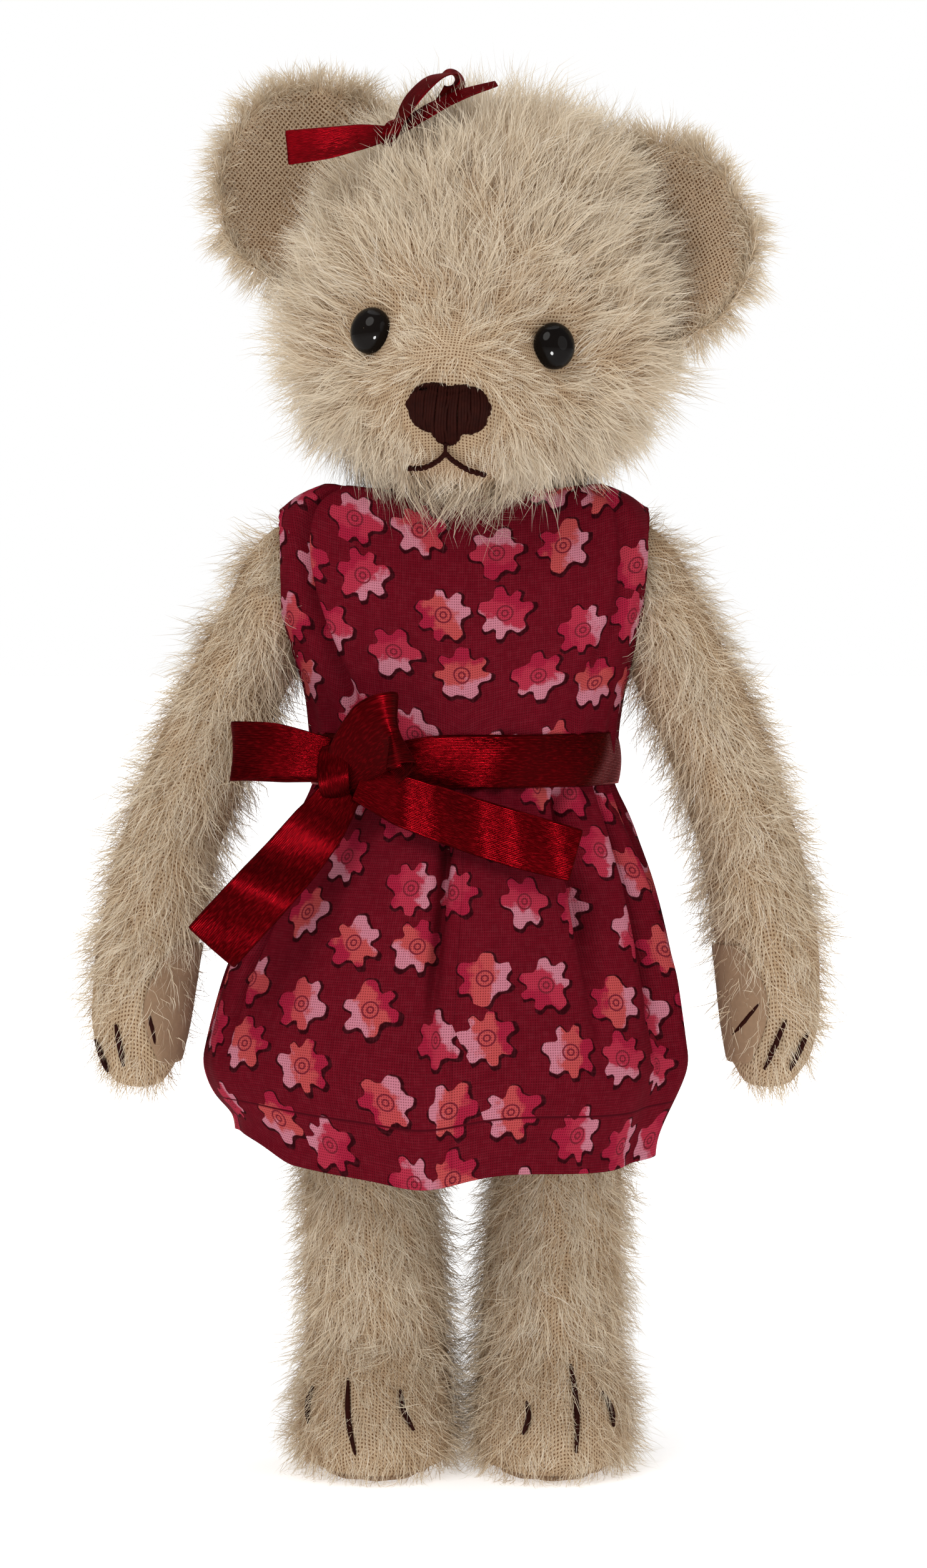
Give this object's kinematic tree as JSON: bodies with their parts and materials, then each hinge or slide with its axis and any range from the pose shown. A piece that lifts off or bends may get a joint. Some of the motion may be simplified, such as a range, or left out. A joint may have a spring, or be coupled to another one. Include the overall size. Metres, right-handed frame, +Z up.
{
  "type": "jointed teddy bear",
  "caption": "Standing jointed mohair teddy bear with turning head, arms and legs, in a sleeveless printed cotton dress with a satin sash and a hair bow.",
  "frame": {"origin": "on the floor, under the middle of the bear's width and depth, midway between the feet", "axes": "+Z up, the bear faces -Y, its left side is +X"},
  "size_m": [0.1084, 0.0696, 0.2092],
  "materials": {
    "mohair": "long cream mohair pile on a woven tan backing",
    "wadding": "off-white polyester wadding",
    "hardboard": "plain brown hardboard",
    "zinc_steel": "zinc-plated",
    "suede": "short-napped tan suede",
    "eye_glass": "polished black",
    "embroidery_thread": "dark brown stranded thread",
    "printed_cotton": "crimson plain-weave cotton with a scattered flower print",
    "sash_satin": "dark red woven satin",
    "hair_satin": "red woven satin"
  },
  "bodies": {
    "torso": {"torso_shell": "mohair", "torso_stuffing": "wadding", "neck_body_disc": "hardboard", "neck_body_washer": "zinc_steel", "shoulder_left_body_disc": "hardboard", "shoulder_left_body_washer": "zinc_steel", "shoulder_right_body_disc": "hardboard", "shoulder_right_body_washer": "zinc_steel", "hip_left_body_disc": "hardboard", "hip_left_body_washer": "zinc_steel", "hip_right_body_disc": "hardboard", "hip_right_body_washer": "zinc_steel", "dress_bodice": "printed_cotton", "sash_band": "sash_satin", "sash_bow": "sash_satin"},
    "head": {"head_shell": "mohair", "head_stuffing": "wadding", "neck_disc": "hardboard", "neck_washer": "zinc_steel", "neck_split_pin": "zinc_steel", "ear_left": "mohair", "ear_right": "mohair", "eye_left": "eye_glass", "eye_right": "eye_glass", "nose": "embroidery_thread", "mouth_thread": "embroidery_thread", "hair_ribbon": "hair_satin"},
    "arm_left": {"arm_left_shell": "mohair", "arm_left_stuffing": "wadding", "shoulder_left_disc": "hardboard", "shoulder_left_washer": "zinc_steel", "shoulder_left_split_pin": "zinc_steel", "paw_pad_left": "suede", "claw_thread_hand_left": "embroidery_thread"},
    "leg_left": {"leg_left_shell": "mohair", "leg_left_stuffing": "wadding", "hip_left_disc": "hardboard", "hip_left_washer": "zinc_steel", "hip_left_split_pin": "zinc_steel", "sole_pad_left": "suede", "claw_thread_foot_left": "embroidery_thread"},
    "skirt_left": {"dress_skirt_left": "printed_cotton", "sash_tail_left": "sash_satin"},
    "arm_right": {"arm_right_shell": "mohair", "arm_right_stuffing": "wadding", "shoulder_right_disc": "hardboard", "shoulder_right_washer": "zinc_steel", "shoulder_right_split_pin": "zinc_steel", "paw_pad_right": "suede", "claw_thread_hand_right": "embroidery_thread"},
    "leg_right": {"leg_right_shell": "mohair", "leg_right_stuffing": "wadding", "hip_right_disc": "hardboard", "hip_right_washer": "zinc_steel", "hip_right_split_pin": "zinc_steel", "sole_pad_right": "suede", "claw_thread_foot_right": "embroidery_thread"},
    "skirt_right": {"dress_skirt_right": "printed_cotton", "sash_tail_right": "sash_satin"}
  },
  "joints": [
    {"name": "neck_turn", "type": "hinge", "parent": "torso", "child": "head", "pos_m": [0, 0.00237, 0.147], "axis": [0, 0, 1], "continuous": true},
    {"name": "shoulder_left", "type": "hinge", "parent": "torso", "child": "arm_left", "pos_m": [0.0233, 0.00237, 0.136], "axis": [-1, 0, 0], "range_deg": [-60, 140]},
    {"name": "shoulder_right", "type": "hinge", "parent": "torso", "child": "arm_right", "pos_m": [-0.0233, 0.00237, 0.136], "axis": [-1, 0, 0], "range_deg": [-60, 140]},
    {"name": "hip_left", "type": "hinge", "parent": "torso", "child": "leg_left", "pos_m": [0.013, 0.00237, 0.069], "axis": [-1, 0, 0], "range_deg": [-25, 90]},
    {"name": "hip_right", "type": "hinge", "parent": "torso", "child": "leg_right", "pos_m": [-0.013, 0.00237, 0.069], "axis": [-1, 0, 0], "range_deg": [-25, 90]},
    {"name": "skirt_left_lift", "type": "hinge", "parent": "torso", "child": "skirt_left", "pos_m": [0, -0.00163, 0.1055], "axis": [-1, 0, 0], "range_deg": [-13.5, 47.5], "deforming": ["dress_skirt_left", "sash_tail_left"]},
    {"name": "skirt_right_lift", "type": "hinge", "parent": "torso", "child": "skirt_right", "pos_m": [0, -0.00163, 0.1055], "axis": [-1, 0, 0], "range_deg": [-13.5, 47.5], "deforming": ["dress_skirt_right", "sash_tail_right"]}
  ],
  "couplings": [
    {"joint": "skirt_left_lift", "follows": "hip_left", "ratio": 0.52},
    {"joint": "skirt_right_lift", "follows": "hip_right", "ratio": 0.52}
  ]
}
